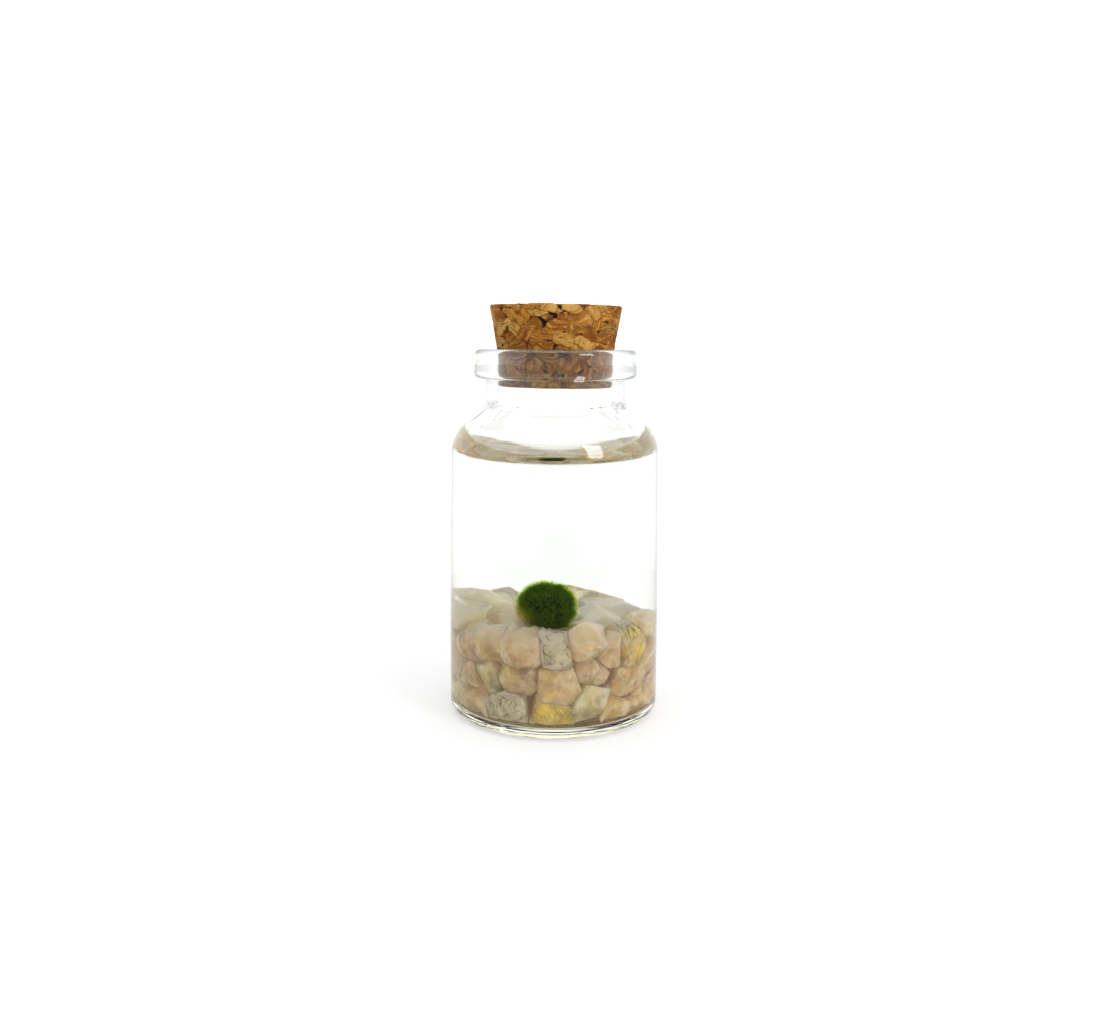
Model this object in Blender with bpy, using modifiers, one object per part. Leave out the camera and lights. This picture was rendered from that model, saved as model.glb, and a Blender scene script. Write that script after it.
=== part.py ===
"""A corked glass vial of water, with a marimo moss ball on a bed of tumbled quartz chips.

Metres, +Z up. The origin is the centre of the vial's flat base, and -Y is the front.
"""

import math
import random

import bmesh
import bpy
from mathutils import Matrix, Quaternion, Vector
from mathutils.bvhtree import BVHTree

MM = 0.001

# ---- Vial: a tubing-glass bottle with a rolled lip, a short neck and a sloping shoulder ----
BODY_R = 15.0 * MM            # outside radius of the lower body
BODY_TOP_R = 14.65 * MM       # the body draws in a little towards the shoulder
BODY_TAPER_Z = 14.0 * MM      # height where that begins
WALL = 0.95 * MM
FLOOR = 1.2 * MM              # thickness of the base
HEEL_R = 1.5 * MM             # rounding between the base and the wall
INNER_HEEL_R = 1.4 * MM
NECK_R = 9.9 * MM
BORE_R = 8.3 * MM
LIP_R = 11.55 * MM
LIP_TOP = 51.7 * MM
LIP_HEIGHT = 4.1 * MM
LIP_ROUND = 0.75 * MM
MOUTH_ROUND = 0.8 * MM
NECK_FOOT = 44.0 * MM         # where the neck turns into the shoulder
NECK_ROUND = 1.8 * MM         # rounding there, outside
BORE_ROUND = 2.6 * MM         # and inside
SHOULDER_SLOPE = math.radians(43)
SHOULDER_ROUND = 5.2 * MM     # outside rounding between shoulder and body
GAP = 0.3 * MM                # clearance kept between neighbouring pieces

# ---- Cork: squeezed straight in the bore, tapered above it ----
CORK_TOP = 57.9 * MM
CORK_BOTTOM = 46.45 * MM
CORK_TOP_R = 9.5 * MM
CORK_BOTTOM_R = 8.0 * MM
CORK_KNEE = (8.0 * MM, 50.2 * MM)    # radius and height where the squeezed part ends
CORK_EDGE = 0.35 * MM
CORK_TILT = math.radians(0.5)

# ---- Water ----
WATER_LEVEL = 35.35 * MM      # the flat middle of the surface
WATER_EDGE = 40.5 * MM        # height of its edge, drawn up under the overhanging shoulder
CAPILLARY = 2.8 * MM          # about water's capillary length, which shapes the climb
RELIEF_REACH = 1.5 * MM       # the underside clears everything this near

# ---- Moss ball ----
MOSS_R = 3.65 * MM
MOSS_CENTRE = Vector((-0.86, -6.0, 16.5)) * MM
MOSS_LUMP = 0.05              # how far the ball departs from a sphere, as a share of its radius

# ---- Bed of quartz chips ----
CHIP_ROUND = 11.0             # higher is sharper edged
CHIP_TILT = 0.22              # how far the face between two chips leans at random
CHIP_AXES = ((1.35, 1.6), (1.2, 1.4), (1.05, 1.25))   # ranges of a chip's three half axes
FINE_CHIP = 58                # points on a chip that shows at the glass or on top
PLAIN_CHIP = 38               # points on a chip hidden in the bed
SEED = 11

# Chips that show, placed by hand: kind, azimuth from the front in degrees (+ is to the
# right), distance from the axis, height of the centre, and half size, all three in mm.
SHOWN_CHIPS = (
    # against the front glass, upper row
    ("rose", -64, 10.4, 10.2, 2.6),
    ("rose", -41, 10.5, 10.9, 2.6),
    ("rose", -20, 10.5, 11.3, 2.6),
    ("tourmaline", 2, 10.6, 11.4, 2.3),
    ("rose", 21, 10.3, 12.2, 2.5),
    ("rose", 37, 10.6, 10.7, 2.1),
    ("rutile", 55, 10.5, 10.4, 2.7),
    # middle row
    ("rose", -63, 10.3, 7.0, 2.6),
    ("clear", -43, 10.5, 7.6, 2.3),
    ("rose", -21, 10.5, 7.9, 2.4),
    ("rose", 3, 10.3, 7.0, 2.9),
    ("rose", 28, 10.3, 8.4, 2.6),
    ("rose", 50, 10.4, 6.6, 2.8),
    # lower row, on the glass floor
    ("rose", -60, 10.2, 3.4, 2.6),
    ("tourmaline", -28, 10.2, 3.8, 2.9),
    ("rutile", -2, 10.2, 3.3, 2.9),
    ("clear", 22, 10.4, 4.5, 2.4),
    ("rose", 40, 10.4, 2.9, 2.3),
    ("rose", 62, 10.2, 3.2, 2.5),
    # the top of the bed, behind the ball
    ("rose", 90, 9.9, 10.4, 3.4),
    ("clear", 128, 6.6, 11.8, 3.0),
    ("rutile", 166, 8.2, 13.5, 2.8),
    ("clear", -147, 9.5, 11.9, 3.0),
    ("clear", -122, 9.3, 12.8, 3.4),
    ("clear", -93, 9.9, 12.9, 3.0),
    ("rose", -80, 5.3, 11.5, 2.8),
    ("clear", 66, 5.2, 11.6, 2.9),
)

# Chips inside the bed, by rule: kinds in turn, count, distance from the axis in mm, height
# in mm, half size in mm, and the azimuths of the first and last in degrees.
HIDDEN_RINGS = (
    (("rose", "clear", "rose"), 6, 10.0, 7.8, 3.3, 82, 278),
    (("rose", "rose", "clear"), 6, 9.9, 3.7, 3.2, 88, 272),
    (("clear", "rose"), 5, 4.9, 8.2, 3.2, -10, 278),
    (("rose", "rose", "rutile"), 4, 4.9, 3.9, 3.1, 0, 270),
    (("clear",), 1, 2.0, 12.2, 2.9, 180, 180),
)
HIDDEN_JITTER = 0.5 * MM

COLOURS = {
    "glass": ((0.93, 0.97, 0.95, 1.0), 0.02),
    "cork": ((0.47, 0.25, 0.10, 1.0), 0.85),
    "water": ((0.90, 0.97, 0.97, 1.0), 0.02),
    "moss": ((0.05, 0.15, 0.015, 1.0), 0.95),
    "rose_quartz": ((0.72, 0.60, 0.54, 1.0), 0.2),
    "clear_quartz": ((0.80, 0.79, 0.72, 1.0), 0.15),
    "rutile_quartz": ((0.72, 0.56, 0.26, 1.0), 0.2),
    "tourmaline_quartz": ((0.56, 0.54, 0.50, 1.0), 0.2),
}

VIAL_SEGMENTS = 44
CORK_SEGMENTS = 36
WATER_SEGMENTS = 32


def clear_scene():
    for obj in list(bpy.data.objects):
        bpy.data.objects.remove(obj, do_unlink=True)


def material(name):
    colour, roughness = COLOURS[name]
    made = bpy.data.materials.get(name)
    if made is None:
        made = bpy.data.materials.new(name)
        made.use_nodes = True
        shader = made.node_tree.nodes["Principled BSDF"]
        shader.inputs["Base Color"].default_value = colour
        shader.inputs["Roughness"].default_value = roughness
        shader.inputs["Metallic"].default_value = 0.0
    return made


def add_object(name, mesh, collection, finish):
    obj = bpy.data.objects.new(name, mesh)
    collection.objects.link(obj)
    mesh.materials.append(material(finish))
    return obj


# ---- Turned pieces ----
def filleted(corners, steps):
    """A profile of (radius, height) points from corners of (radius, height, rounding)."""
    points = []
    for index, (r, z, rounding) in enumerate(corners):
        here = Vector((r, z))
        if rounding <= 0:
            points.append(here)
            continue
        before = (Vector(corners[index - 1][:2]) - here).normalized()
        after = (Vector(corners[index + 1][:2]) - here).normalized()
        half = before.angle(after) / 2
        centre = here + (before + after).normalized() * rounding / math.sin(half)
        first = here + before * rounding / math.tan(half) - centre
        last = here + after * rounding / math.tan(half) - centre
        turn = first.angle_signed(last)
        for step in range(steps + 1):
            points.append(centre + Matrix.Rotation(-turn * step / steps, 2) @ first)
    return points


def turned(name, profile, segments, collection, finish):
    """A profile turned about Z by a Screw modifier, shaded smooth."""
    mesh = bpy.data.meshes.new(name)
    edges = [(i, i + 1) for i in range(len(profile) - 1)]
    mesh.from_pydata([(p.x, 0.0, p.y) for p in profile], edges, [])
    obj = add_object(name, mesh, collection, finish)
    screw = obj.modifiers.new("turn", "SCREW")
    screw.axis = "Z"
    screw.steps = segments
    screw.render_steps = segments
    screw.use_merge_vertices = True
    screw.merge_threshold = 1e-6
    screw.use_smooth_shade = True
    return obj


def slope_height(radius, inset):
    """Height of the shoulder's straight slope at a radius, on a surface inset from the outside."""
    foot_r = NECK_R - inset * math.sin(SHOULDER_SLOPE)
    foot_z = NECK_FOOT - inset * math.cos(SHOULDER_SLOPE)
    return foot_z - (radius - foot_r) * math.tan(SHOULDER_SLOPE)


def shoulder_corner(inset):
    """Where body and shoulder meet, as radius, height and rounding, inset from the outside."""
    radius = BODY_TOP_R - inset
    return radius, slope_height(radius, inset), SHOULDER_ROUND - inset


def vial_profile():
    inner_r = BODY_R - WALL
    lip_bottom = LIP_TOP - LIP_HEIGHT
    corners = (
        (0.0, FLOOR, 0),
        (inner_r, FLOOR, INNER_HEEL_R),
        (inner_r, BODY_TAPER_Z, 0),
        shoulder_corner(WALL),
        (BORE_R, slope_height(BORE_R, WALL), BORE_ROUND),
        (BORE_R, LIP_TOP, MOUTH_ROUND),
        (LIP_R, LIP_TOP, LIP_ROUND),
        (LIP_R, lip_bottom, LIP_ROUND),
        (NECK_R, lip_bottom, 0.4 * LIP_ROUND),
        (NECK_R, NECK_FOOT, NECK_ROUND),
        shoulder_corner(0.0),
        (BODY_R, BODY_TAPER_Z, 0),
        (BODY_R, 0.0, HEEL_R),
        (0.0, 0.0, 0),
    )
    return filleted(corners, 2)


def cork_profile():
    corners = (
        (0.0, CORK_TOP, 0),
        (CORK_TOP_R, CORK_TOP, CORK_EDGE),
        (*CORK_KNEE, 0),
        (CORK_BOTTOM_R, CORK_BOTTOM, CORK_EDGE),
        (0.0, CORK_BOTTOM, 0),
    )
    return filleted(corners, 2)


def build_cork(collection):
    cork = turned("cork", cork_profile(), CORK_SEGMENTS, collection, "cork")
    seat = Vector((0.0, 0.0, CORK_KNEE[1]))
    cork.matrix_world = (
        Matrix.Translation(seat) @ Matrix.Rotation(CORK_TILT, 4, "Y") @ Matrix.Translation(-seat)
    )
    return cork


# ---- Moss ball and chips: spheres drawn in to what surrounds them ----
def build_moss_ball(collection):
    mesh = bpy.data.meshes.new("moss_ball")
    bm = bmesh.new()
    bmesh.ops.create_icosphere(bm, subdivisions=3, radius=MOSS_R)
    for vert in bm.verts:
        x, y, z = vert.co.normalized() * 3.0
        lump = math.sin(x + 0.5) * math.sin(1.3 * y + 1.0) * math.sin(z + 2.0)
        vert.co *= 1.0 - MOSS_LUMP * abs(lump)
    bm.to_mesh(mesh)
    bm.free()
    mesh.shade_smooth()
    ball = add_object("moss_ball", mesh, collection, "moss")
    ball.location = MOSS_CENTRE
    return ball


def at_azimuth(degrees, radius, height):
    """A point by its azimuth from the front, its distance from the axis and its height."""
    turn = math.radians(degrees)
    return Vector((radius * math.sin(turn), -radius * math.cos(turn), height))


def chip_seeds():
    """Every chip as its kind, centre, half size and number of points."""
    rng = random.Random(SEED)
    seeds = [
        (kind, at_azimuth(turn, out * MM, up * MM), half * MM, FINE_CHIP)
        for kind, turn, out, up, half in SHOWN_CHIPS
    ]
    for kinds, count, out, up, half, first, last in HIDDEN_RINGS:
        for index in range(count):
            turn = first + (last - first) * index / max(count - 1, 1)
            shift = Vector([rng.uniform(-1, 1) for _ in range(3)]) * HIDDEN_JITTER
            centre = at_azimuth(turn, out * MM, up * MM) + shift
            seeds.append((kinds[index % len(kinds)], centre, half * MM, PLAIN_CHIP))
    return seeds


def even_directions(count, rng):
    """Unit vectors spread evenly over a sphere, turned at random."""
    spin = Quaternion([rng.gauss(0, 1) for _ in range(4)]).normalized()
    golden = math.pi * (3 - math.sqrt(5))
    for index in range(count):
        z = 1 - (2 * index + 1) / count
        across = math.sqrt(1 - z * z)
        yield spin @ Vector((across * math.cos(golden * index), across * math.sin(golden * index), z))


def dividing_planes(seeds):
    """For each chip, the planes (normal, distance from its centre) that part it from the others."""
    rng = random.Random(SEED + 1)
    planes = [[] for _ in seeds]
    for first, (_, centre, half, _) in enumerate(seeds):
        for second in range(first + 1, len(seeds)):
            _, other, other_half, _ = seeds[second]
            across = other - centre
            if across.length > 2.2 * (half + other_half):
                continue
            lean = Vector([rng.uniform(-1, 1) for _ in range(3)]) * CHIP_TILT
            normal = (across.normalized() + lean).normalized()
            share = half / (half + other_half)
            span = across.dot(normal)
            planes[first].append((normal, span * share - GAP / 2))
            planes[second].append((-normal, span * (1 - share) - GAP / 2))
    return planes


def surrounding_planes(centre):
    """Planes that part a chip from the moss ball, the glass floor and the rounded inner heel."""
    across = MOSS_CENTRE - centre
    planes = [(across.normalized(), across.length - MOSS_R - GAP)]
    planes.append((Vector((0, 0, -1)), centre.z - FLOOR - GAP))
    outward = Vector((centre.x, centre.y, 0)).normalized()
    heel = outward * (BODY_R - WALL - INNER_HEEL_R) + Vector((0, 0, FLOOR + INNER_HEEL_R))
    slant = (outward - Vector((0, 0, 1))).normalized()
    planes.append((slant, (heel - centre).dot(slant) + INNER_HEEL_R - GAP))
    return planes


def reach_to_wall(centre, direction):
    """Distance from a point to the inside of the vial's wall, less the clearance."""
    limit = BODY_TOP_R - WALL - GAP
    a = direction.x ** 2 + direction.y ** 2
    b = centre.x * direction.x + centre.y * direction.y
    c = centre.x ** 2 + centre.y ** 2 - limit ** 2
    return (math.sqrt(b * b - a * c) - b) / max(a, 1e-9)


def chip_mesh(name, centre, half, count, planes, rng):
    """A rounded convex chip: an ellipsoid worn flat against each of its neighbours."""
    spin = Quaternion([rng.gauss(0, 1) for _ in range(4)]).normalized()
    axes = Vector([rng.uniform(*span) for span in CHIP_AXES]) * half
    mesh = bpy.data.meshes.new(name)
    bm = bmesh.new()
    for direction in even_directions(count, rng):
        local = spin.conjugated() @ direction
        gauges = [Vector((local.x / axes.x, local.y / axes.y, local.z / axes.z)).length]
        gauges.append(1 / reach_to_wall(centre, direction))
        gauges += [max(direction.dot(normal), 0) / distance for normal, distance in planes]
        largest = max(gauges)
        total = sum((gauge / largest) ** CHIP_ROUND for gauge in gauges)
        bm.verts.new(direction / (largest * total ** (1 / CHIP_ROUND)))
    hull = bmesh.ops.convex_hull(bm, input=bm.verts)
    loose = set(hull["geom_interior"]) | set(hull["geom_unused"])
    bmesh.ops.delete(bm, geom=[v for v in loose if isinstance(v, bmesh.types.BMVert)], context="VERTS")
    bm.to_mesh(mesh)
    bm.free()
    mesh.shade_smooth()
    mesh.set_sharp_from_angle(angle=math.radians(25))
    return mesh


def build_chips(collection):
    seeds = chip_seeds()
    planes = dividing_planes(seeds)
    rng = random.Random(SEED + 2)
    counts = {}
    chips = []
    for (kind, centre, half, count), between in zip(seeds, planes):
        counts[kind] = counts.get(kind, 0) + 1
        name = f"{kind}_quartz_{counts[kind]:02d}"
        mesh = chip_mesh(name, centre, half, count, between + surrounding_planes(centre), rng)
        chip = add_object(name, mesh, collection, f"{kind}_quartz")
        chip.location = centre
        chips.append(chip)
    return chips


# ---- Water: from its curved surface down to the top of the bed ----
def climb_distance(rise):
    """How far inside a tall upright wall the water stands this much above its flat level."""
    return CAPILLARY * (math.acosh(2 * CAPILLARY / rise) - math.sqrt(4 - (rise / CAPILLARY) ** 2))


def water_surface(edge, shares):
    """The surface from the axis out to its edge, as (radius, height) points."""
    full = WATER_EDGE - WATER_LEVEL
    climb = [(edge + climb_distance(full) - climb_distance(full * share), full * share) for share in shares]
    return [Vector((0.0, WATER_LEVEL))] + [Vector((radius, WATER_LEVEL + rise)) for radius, rise in climb]


def water_side(inset):
    """The water's side from its upper edge down to the body, as (radius, height) points."""
    corners = (
        (BORE_R, slope_height(BORE_R, inset), 0),
        shoulder_corner(inset),
        (BODY_R - inset, BODY_TAPER_Z, 0),
    )
    line = filleted(corners, 4)
    below = [point for point in line if point.y < WATER_EDGE]
    above = line[len(line) - len(below) - 1]
    share = (WATER_EDGE - below[0].y) / (above.y - below[0].y)
    return [below[0].lerp(above, share)] + below


def relief_height(tree, x, y, reach):
    """Height that clears everything in the bed around a point."""
    start = WATER_LEVEL - 2 * MM
    highest = FLOOR
    for ring, count in ((0.0, 1), (reach / 3, 6), (2 * reach / 3, 10), (reach, 14)):
        for index in range(count):
            turn = 2 * math.pi * index / count
            over = Vector((x + ring * math.cos(turn), y + ring * math.sin(turn), start))
            hit = tree.ray_cast(over, Vector((0, 0, -1)))[0]
            if hit is not None:
                highest = max(highest, hit.z)
    return highest + GAP


def bed_tree(pieces):
    verts, faces = [], []
    for piece in pieces:
        offset = len(verts)
        verts += [vert.co + piece.location for vert in piece.data.vertices]
        faces += [[offset + index for index in face.vertices] for face in piece.data.polygons]
    return BVHTree.FromPolygons(verts, faces)


def build_water(collection, pieces):
    side = water_side(WALL + GAP)
    top = water_surface(side[0].x, (0.04, 0.12, 0.25, 0.42, 0.6, 0.78, 0.92))
    rings = 12
    foot = side[-1].x
    under = [Vector((foot * (1 - step / rings), FLOOR)) for step in range(rings + 1)]
    turned_water = turned("water_blank", top + side + under, WATER_SEGMENTS, collection, "water")
    graph = bpy.context.evaluated_depsgraph_get()
    mesh = bpy.data.meshes.new_from_object(turned_water.evaluated_get(graph))
    bpy.data.objects.remove(turned_water, do_unlink=True)
    mesh.name = "water"
    tree = bed_tree(pieces)
    for vert in mesh.vertices:
        if vert.co.z < (FLOOR + BODY_TAPER_Z) / 2:
            vert.co.z = relief_height(tree, vert.co.x, vert.co.y, RELIEF_REACH)
    water = bpy.data.objects.new("water", mesh)
    collection.objects.link(water)
    return water


def main():
    clear_scene()
    collection = bpy.data.collections.new("marimo_moss_ball_in_vial")
    bpy.context.scene.collection.children.link(collection)
    turned("bottle", vial_profile(), VIAL_SEGMENTS, collection, "glass")
    build_cork(collection)
    chips = build_chips(collection)
    ball = build_moss_ball(collection)
    build_water(collection, chips + [ball])


main()
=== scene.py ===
"""Looks of a corked glass vial of water with a marimo moss ball on a bed of quartz chips."""

import math
import random

import bmesh
import bpy
import numpy as np
from mathutils import Matrix, Quaternion, Vector, noise
from mathutils.bvhtree import BVHTree
from mathutils.kdtree import KDTree


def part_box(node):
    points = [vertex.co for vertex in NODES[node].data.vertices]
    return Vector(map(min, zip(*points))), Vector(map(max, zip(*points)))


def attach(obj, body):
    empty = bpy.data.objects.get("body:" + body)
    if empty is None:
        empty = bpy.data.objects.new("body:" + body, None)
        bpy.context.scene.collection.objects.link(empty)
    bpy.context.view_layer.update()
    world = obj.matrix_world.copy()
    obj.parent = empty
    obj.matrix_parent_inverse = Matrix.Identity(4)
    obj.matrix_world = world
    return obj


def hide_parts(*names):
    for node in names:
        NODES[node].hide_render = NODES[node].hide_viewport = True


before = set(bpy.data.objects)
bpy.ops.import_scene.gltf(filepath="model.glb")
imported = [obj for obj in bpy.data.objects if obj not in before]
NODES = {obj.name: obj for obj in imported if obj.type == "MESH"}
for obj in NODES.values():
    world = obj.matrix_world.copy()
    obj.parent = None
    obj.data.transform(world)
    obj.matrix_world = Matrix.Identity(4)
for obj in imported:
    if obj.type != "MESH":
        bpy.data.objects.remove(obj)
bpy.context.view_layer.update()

MM = 0.001
SEED = 23

# ---- Photograph's view ----
FOCAL_PX = 1000.0            # focal length, for an image 1100 px wide
IMAGE_W = 1100.0
CAMERA_AT = Vector((-0.7, -142.7, 52.8)) * MM
PITCH = math.radians(5.5)    # looking down
ROLL = math.radians(0.35)
SHIFT_Y = -0.0608

# ---- Studio ----
ROOM_LIGHT = 1.45            # of the cove, up to GAP_FROM
GAP_LIGHT = 0.80             # of the gap between the cove and the light overhead
TOP_LIGHT = 2.6
GAP_FROM, GAP_TO = 0.50, 0.80    # as the sine of the elevation
GAP_BLUR = 0.04              # over which its edges fade
CARD_SIZE = (1.9, 1.3)       # a dark card far behind the camera
CARD_AT = (0.10, -0.95, 0.40)
TABLE_CARD_SIZE = (0.9, 0.86)    # and one on the table, from just below the photograph's frame
TABLE_CARD_AT = (0.0, -0.50, 0.0001)
FLOOR_SIZE = 4.0
FLOOR_DROP = 0.05 * MM       # the floor lies this far under the vial
FLOOR_GLOW = 0.54            # the floor is brightly lit from all round
WINDOW_AZIMUTH = math.radians(45)     # to the right of the front
WINDOW_ELEVATION = math.radians(21)
WINDOW_DISTANCE = 0.65
WINDOW_SIZE = (0.20, 0.38)
WINDOW_RADIANCE = 11.0

# ---- Vial ----
BODY_R = 15.0 * MM
BODY_TOP_R = 14.65 * MM
BODY_TAPER_Z = 14.0 * MM
WALL = 0.95 * MM
FLOOR = 1.2 * MM
HEEL_R = 1.5 * MM
INNER_HEEL_R = 1.4 * MM
NECK_R = 9.9 * MM
BORE_R = 8.3 * MM
LIP_R = 11.55 * MM
LIP_TOP = 51.7 * MM
LIP_HEIGHT = 4.1 * MM
LIP_ROUND = 0.75 * MM
MOUTH_ROUND = 0.8 * MM
NECK_FOOT = 44.0 * MM
NECK_ROUND = 1.8 * MM        # between neck and shoulder, outside
BORE_ROUND = 2.6 * MM        # and inside
SHOULDER_SLOPE = math.radians(43)
SHOULDER_ROUND = 5.2 * MM
GLASS_SEGMENTS = 192
FILLET_STEPS = 12            # steps along each rounding of the glass
SHARP_ANGLE = math.radians(35)    # faces that meet at more than this shade with an edge
SUPPORT = 0.04 * MM          # extra points stand this far from a straight run's ends
SUPPORT_STEP = 1.0 * MM      # and this far apart along it
RIPPLE = 0.12 * MM           # unevenness of the inside of the shoulder
RIPPLE_SIZE = 0.9 * MM
GLASS_SLANT = (0.72, 1.0)    # painted shade greys the glass between these slants, 1 being edge on
# painted shade: the dark grey-green that the glass's outlines are painted with
GLASS_EDGE_SHADE = (0.22, 0.26, 0.20, 1.0)
GLASS_BASE = (0.80, 0.79, 0.54, 1.0)     # the thick base gathers a pale green
BASE_RANGE = (0.8 * MM, 1.6 * MM)        # heights between which that fades
EDGE_RANGE = (3.0 * MM, 6.0 * MM)        # and between which that painted edge shade comes in
LIP_SLANT = (0.32, 0.80)     # the thick lip takes the painted edge shade sooner

# ---- Water ----
WATER_LEVEL = 35.35 * MM
WATER_EDGE = 40.5 * MM
CAPILLARY = 2.8 * MM         # about water's capillary length, which shapes the climb
SKIN = 0.03 * MM             # the water's sides stand this far inside the glass
SURFACE_STEPS = 60           # steps along the water's surface
LEAST_RISE = 0.02            # the surface is drawn straight up to this share of the climb

# ---- Cork ----
CORK_TOP = 57.9 * MM
CORK_BOTTOM = 46.45 * MM
CORK_TOP_R = 9.5 * MM
CORK_BOTTOM_R = 8.1 * MM
CORK_KNEE = (8.1 * MM, 50.2 * MM)
CORK_EDGE = 0.3 * MM
CORK_TILT = math.radians(0.5)
CORK_SEGMENTS = 432
CORK_STEP = 0.12 * MM        # between rows of points on the side
FLAT_STEP = 1.4 * CORK_STEP  # and on the flat ends and the rounded edges
CORK_FILLET_STEPS = 4
GRANULE = 3.0 * MM           # spacing of the granules across the cork
GRANULE_FLAT = 1.75          # granules are pressed this much flatter than wide
GRANULE_TRIES = 9000         # places tried for a granule
GRANULE_SPACING = (0.55, 1.15)    # least distance between two, as a share of GRANULE
SEAM_WAVES = ((2.2, 0.7), (0.7, 0.18))    # seams wander in waves of this size, this far, in mm
GRAIN_STRETCH = (0.35, 2.6, 0.5)  # draws the grain out into streaks, one way in each granule
GROOVE_WIDTH = 0.22          # of the groove along a seam, in mm
PIT_WIDTH = 0.38             # of the pit where three granules meet, in mm
PIT_PATCH = 1.7 * MM         # size of the patches that have pits
ROUGH_SIZE = 0.9 * MM        # size of the roughness
GROOVE_DEPTH = 0.07          # in mm, as the other depths
PIT_DEPTH = 0.38
TONE_DEPTH = 0.10            # one granule lies up to this much lower than another
ROUGH_DEPTH = 0.035
BASE_DEPTH = 0.02            # of every point
SQUEEZED_RELIEF = 0.15       # share of the relief that is left inside the lip

# ---- Refraction ----
GLASS_IOR = 1.5
WATER_IOR = 1.333
QUARTZ_IN_WATER_IOR = 1.16   # 1.544 / 1.333, because the chips lie in water

# ---- Chips ----
CHIP_SWELL = 0.14 * MM       # real chips touch where the CAD solids keep a gap
CHIP_CRISP = 38.0            # higher has sharper edges between facets
CHIP_GAP = 0.06 * MM         # to the glass where the body is narrowest; it is 0.41 mm at the bed
CHIP_BITE = 0.05 * MM        # how far a chip may pass the plane halfway to its neighbour
NEIGHBOUR_REACH = 12.0 * MM  # between the middles of two neighbours, at most
NEIGHBOUR_GAP = 2.0 * MM     # between their solids, at most
FILL_REACH = 2.4 * MM        # a chip grows towards a neighbour up to this far off
FILL_SOFT = 0.9 * MM         # and grows less over this much before that
CHIP_BREAKS = 6              # flat breaks on the side of a chip that shows
BREAK_DEPTH = (0.78, 0.95)   # how far out they lie, as a share of the chip's reach
BREAK_SPREAD = 0.6           # how much they differ in the way they face
TOP_ROUND = 1.28             # chips on top are worn round to this many times their middling reach
TURN_UP = 2 * MM             # a chip this far above SHOWN_HEIGHT shows halfway up, and higher more
DENT_DEPTH = 0.06            # as a share of the chip's reach
DENT_SIZE = 2.1 * MM
EDGE_TURN = 0.008            # a point that turns this much counts half as an edge
MILK_DEPTH = 2.5 * MM        # how far light soaks into the milky quartz
QUARTZ_VEIL = (0.92, 0.74, 0.56, 1.0)
# painted highlight: the light colour that the chips' edges take in patches
QUARTZ_RIM_HIGHLIGHT = (0.98, 0.88, 0.72, 1.0)
QUARTZ_LOOKS = {             # three colours and three shares, as quartz_material takes them
    "rose": ((0.87, 0.62, 0.37), (0.83, 0.57, 0.18), (0.95, 0.79, 0.52), 0.28, 0.65, 0.42),
    "clear": ((0.90, 0.76, 0.50), (0.86, 0.72, 0.28), (1.00, 0.98, 0.80), 0.30, 0.75, 0.58),
    "rutile": ((0.86, 0.64, 0.20), (0.80, 0.53, 0.08), (0.99, 0.94, 0.72), 0.30, 0.70, 0.62),
    "tourmaline": ((0.86, 0.74, 0.52), (0.82, 0.68, 0.40), (0.88, 0.79, 0.60), 0.25, 0.60, 0.50),
}
FINE_POINTS = 3600
PLAIN_POINTS = 700
SHOWN_REACH = 8.0 * MM       # chips this far from the axis, or this high, are finely made
SHOWN_HEIGHT = 10.5 * MM
TOP_RANGE = (11.0 * MM, 14.0 * MM)       # heights between which the chips turn brighter: painted light on top of the bed
NEEDLE_DEPTH = 0.06 * MM     # needles are fitted this far under a chip's surface
NEEDLE_LIFT = (0.02 * MM, 0.09 * MM)     # and then raised by this much
NEEDLE_LENGTH = 3.2 * MM
NEEDLE_FACING = 0.45         # needles start where the chip faces the eye at least this squarely
NEEDLE_FLATNESS = 0.92       # 1 lays them flat along the surface
NEEDLE_FILL = (0.4, 0.98)    # how far each half goes, as a share of the room it has

# ---- Moss ----
MOSS_CORE = 0.70             # radius of the dense middle, as a share of the ball's
CORE_POINTS = 3000
LUMP_HEIGHT = 0.05           # as a share of that radius
LUMP_RATE = 1.7              # higher has more and smaller lumps
MOSS_FIBRES = 11500
FIBRE_ROOT = 0.97            # fibres start this far out in the core, as a share of its reach
FIBRE_WIDTH = 0.046 * MM     # half the thickness at the root
FIBRE_LENGTH = (0.12, 0.44)  # as a share of the ball's radius
FIBRE_LEAN = (0.2, 1.2)      # how far the tip leans aside, as a share of the length
FIBRE_CURL = 0.25            # how far the middle bows, at random, as a share of the length
FIBRE_REACH = 1.09           # the longest stand this far out, as a share of the radius, past the solid
FIBRE_RINGS = ((0.0, 1.0), (0.4, 0.85), (0.75, 0.55))    # how far along, and how thick there
TUFT_RATE = 4.5              # higher has more and smaller tufts that lean one way
TONE_RATE = 6.0              # and more and smaller tufts of one tone
OLD_WAY = (-0.80, -0.20, -0.56)   # the old orange patch faces this way, down to the left
OLD_SLOPE = 6                # how sharply it fades
OLD_START = 4.2              # higher makes it smaller


def tie(obj, nodes, slot):
    """Makes a piece ride on the frame's one body, and stand for the CAD nodes named."""
    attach(obj, "root")
    if nodes:
        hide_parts(*nodes)


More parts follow.
